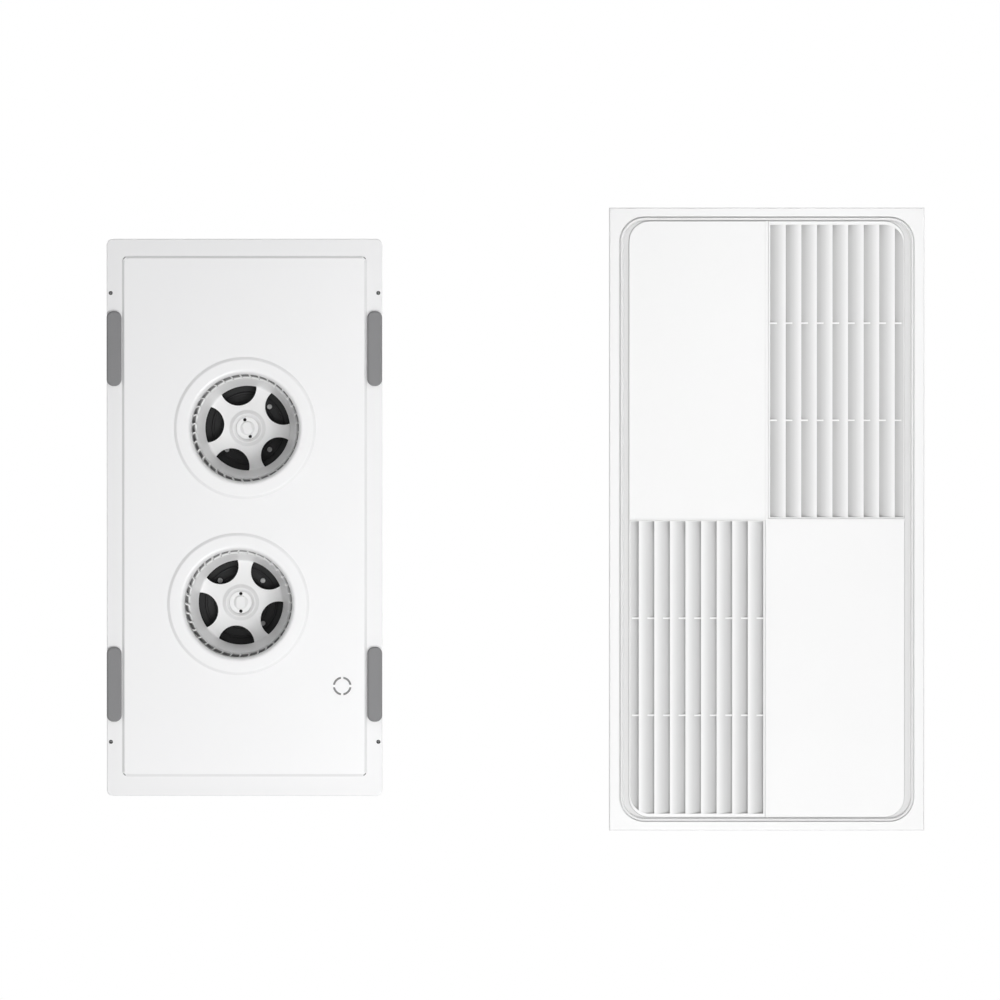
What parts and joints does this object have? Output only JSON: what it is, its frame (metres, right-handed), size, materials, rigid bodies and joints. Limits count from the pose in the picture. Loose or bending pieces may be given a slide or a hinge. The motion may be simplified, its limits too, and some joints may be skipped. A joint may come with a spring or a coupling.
{
  "type": "recessed exhaust fan",
  "caption": "Recessed ceiling exhaust fan: white plate with bell-mouth inlets over bladed wheels, scroll housing with duct collar and damper, and a magnet-held louvre panel beside it.",
  "frame": {"origin": "centre of the four flange screw holes, on the flange's back face", "axes": "drawn upright as pictured: +Z up along the long side, +X to the right as seen from the room, +Y from the room into the recess; in a ceiling +Y points up"},
  "size_m": [0.792, 0.2663, 0.597],
  "materials": {
    "white_plate": "moulded white, low gloss",
    "panel_white": "moulded white, satin",
    "wheel_plastic": "moulded white, satin",
    "housing_plastic": "moulded light grey, fine grain",
    "foam_black": "black foam strip",
    "motor_black": "black paint",
    "bolt_dull": "dull phosphate",
    "steel_bright": "zinc plated",
    "core_steel": "stacked laminations",
    "rotor_alloy": "turned",
    "bush_bronze": "sintered bronze",
    "magnet_grey": "rubber-covered magnet, matt",
    "keeper_zinc": "zinc plated strip",
    "capacitor_case": "moulded black",
    "terminal_nylon": "natural nylon"
  },
  "bodies": {
    "fan_body": {"face_plate": "white_plate", "scroll_housing": "housing_plastic", "outlet_collar": "housing_plastic", "foam_seal": "foam_black", "damper_pin": "steel_bright", "inlet_ring_upper": "white_plate", "stator_upper": "core_steel", "motor_plate_upper": "motor_black", "motor_can_upper": "motor_black", "motor_bolts_upper": "bolt_dull", "motor_plate_screws_upper": "steel_bright", "front_bush_upper": "bush_bronze", "rear_bush_upper": "bush_bronze", "inlet_ring_lower": "white_plate", "stator_lower": "core_steel", "motor_plate_lower": "motor_black", "motor_can_lower": "motor_black", "motor_bolts_lower": "bolt_dull", "motor_plate_screws_lower": "steel_bright", "front_bush_lower": "bush_bronze", "rear_bush_lower": "bush_bronze", "capacitor_upper": "capacitor_case", "capacitor_lower": "capacitor_case", "capacitor_screws": "steel_bright", "housing_screws": "steel_bright", "collar_screws": "steel_bright", "terminal_box": "housing_plastic", "terminal_box_screws": "steel_bright", "terminal_cover": "housing_plastic", "cover_screws": "steel_bright", "terminal_block": "terminal_nylon", "cable_gland": "capacitor_case", "magnet_pad_upper_left": "magnet_grey", "magnet_pad_lower_left": "magnet_grey", "magnet_pad_upper_right": "magnet_grey", "magnet_pad_lower_right": "magnet_grey"},
    "wheel_upper": {"fan_wheel_upper": "wheel_plastic", "wheel_nut_upper": "wheel_plastic", "motor_shaft_upper": "steel_bright", "rotor_upper": "rotor_alloy"},
    "wheel_lower": {"fan_wheel_lower": "wheel_plastic", "wheel_nut_lower": "wheel_plastic", "motor_shaft_lower": "steel_bright", "rotor_lower": "rotor_alloy"},
    "damper": {"damper_flap": "wheel_plastic"},
    "panel": {"panel_frame": "panel_white", "louvre_upper": "panel_white", "blank_lower": "panel_white", "louvre_lower": "panel_white", "blank_upper": "panel_white", "keeper_upper_left": "keeper_zinc", "keeper_lower_left": "keeper_zinc", "keeper_upper_right": "keeper_zinc", "keeper_lower_right": "keeper_zinc"}
  },
  "joints": [
    {"name": "upper_wheel_spin", "type": "hinge", "parent": "fan_body", "child": "wheel_upper", "pos_m": [0.0005, 0.0128, 0.0877], "axis": [0, 1, 0], "continuous": true},
    {"name": "lower_wheel_spin", "type": "hinge", "parent": "fan_body", "child": "wheel_lower", "pos_m": [-0.0062, 0.0128, -0.0848], "axis": [0, -1, 0], "continuous": true},
    {"name": "damper_swing", "type": "hinge", "parent": "fan_body", "child": "damper", "pos_m": [-0.109, 0.0714, 0.00145], "axis": [0, 0, -1], "range_deg": [0, 60]},
    {"name": "panel_fit", "type": "slide", "parent": "fan_body", "child": "panel", "axis": [-0.9685, 0.2488, 0], "range_m": [0, 0.52243]}
  ]
}
